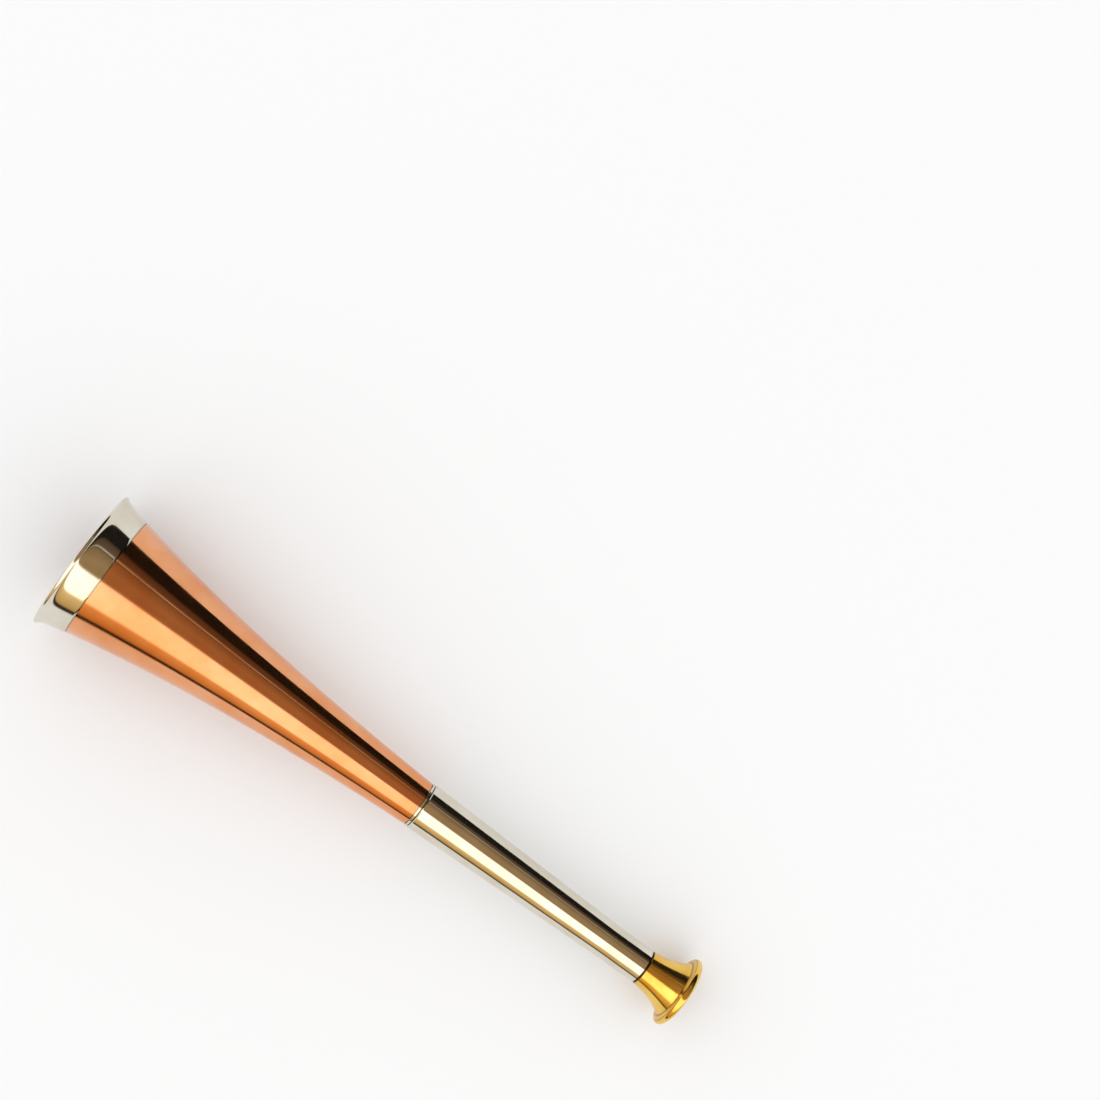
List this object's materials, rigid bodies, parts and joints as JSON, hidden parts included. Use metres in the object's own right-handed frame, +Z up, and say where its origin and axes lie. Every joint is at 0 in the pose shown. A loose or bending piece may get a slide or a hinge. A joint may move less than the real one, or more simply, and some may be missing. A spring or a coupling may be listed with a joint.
{
  "type": "hunting horn",
  "caption": "Straight hunting horn with a flared copper bell, a nickel-silver lip band and lead tube, and a turned brass mouthpiece that pulls out.",
  "frame": {"origin": "on the surface that the horn lies on, under the middle of its length and width", "axes": "+X along the horn from mouthpiece to bell, +Z up, with the horn lying on its bell's lip and its mouthpiece's rim"},
  "size_m": [0.2306, 0.0468, 0.0467],
  "materials": {
    "copper": "mirror-polished copper sheet",
    "nickel_silver": "mirror-polished nickel silver",
    "yellow_brass": "turned and polished brass",
    "steel_wire": "drawn wire"
  },
  "bodies": {
    "horn": {"bell_body": "copper", "bell_garland": "nickel_silver", "bell_rim_wire": "steel_wire", "joint_collar": "nickel_silver", "lead_tube": "nickel_silver", "mouthpiece_receiver": "nickel_silver"},
    "mouthpiece": {"mouthpiece": "yellow_brass"}
  },
  "joints": [
    {"name": "mouthpiece_slide", "type": "slide", "parent": "horn", "child": "mouthpiece", "axis": [-0.9987, 0, -0.051], "range_m": [0, 0.02]}
  ]
}
